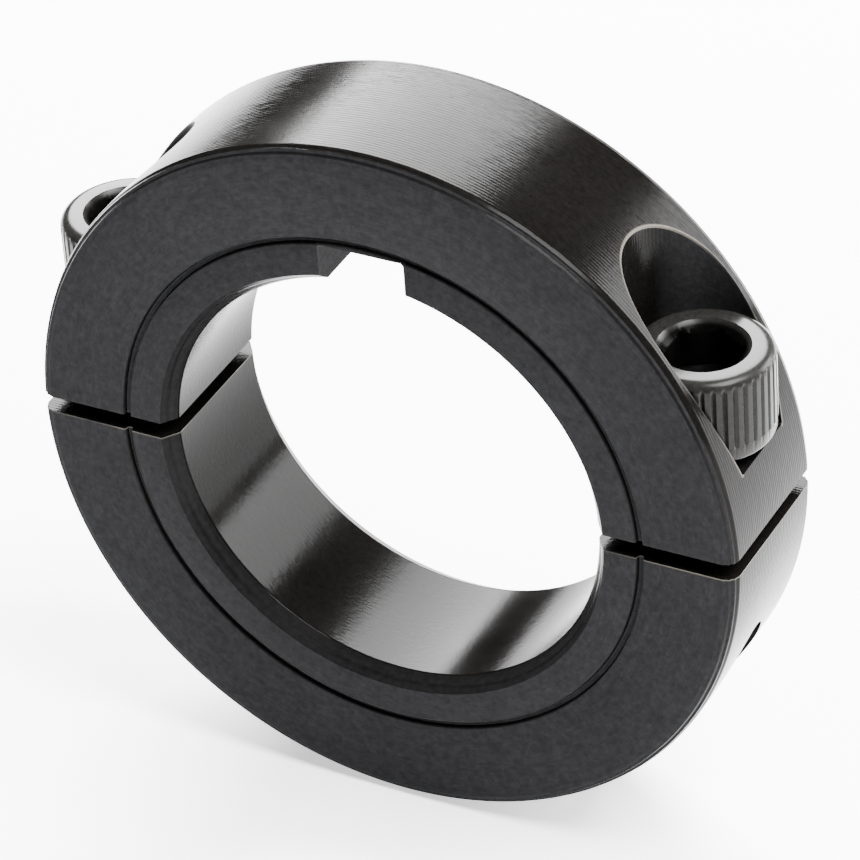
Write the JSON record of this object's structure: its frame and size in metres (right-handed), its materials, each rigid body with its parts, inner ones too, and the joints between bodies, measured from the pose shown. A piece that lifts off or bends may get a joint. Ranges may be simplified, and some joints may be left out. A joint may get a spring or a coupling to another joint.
{
  "type": "two-piece clamp shaft collar",
  "caption": "Split clamp shaft collar with a square-key seat, its two half rings drawn around a round shaft by socket head cap screws.",
  "frame": {"origin": "middle of the bore, halfway along its width", "axes": "+Y along the bore from the grooved face to the plain face, +Z from the tapped half to the keyed half along the screws, +X to the right screw"},
  "size_m": [0.0526, 0.0126, 0.0524],
  "materials": {
    "collar_steel": "black oxide over turned steel, satin faces and a glossier rim and bore",
    "screw_steel": "black oxide, knurled head with a bright turned top"
  },
  "bodies": {
    "tapped_half": {"tapped_half": "collar_steel"},
    "keyed_half": {"keyed_half": "collar_steel"},
    "left_screw": {"left_screw": "screw_steel"},
    "right_screw": {"right_screw": "screw_steel"}
  },
  "joints": [
    {"name": "halves_part", "type": "slide", "parent": "tapped_half", "child": "keyed_half", "axis": [0, 0, 1], "range_m": [-0.0008, 0.0072]},
    {"name": "left_screw_turn", "type": "hinge", "parent": "keyed_half", "child": "left_screw", "pos_m": [-0.0215, 0, 0], "axis": [0, 0, 1], "range_deg": [-318, 2858]},
    {"name": "right_screw_turn", "type": "hinge", "parent": "keyed_half", "child": "right_screw", "pos_m": [0.0215, 0, 0], "axis": [0, 0, 1], "range_deg": [-318, 2858]}
  ],
  "couplings": [
    {"joint": "left_screw_turn", "follows": "halves_part", "rad_per_m": 6927.4},
    {"joint": "right_screw_turn", "follows": "halves_part", "rad_per_m": 6927.4}
  ]
}
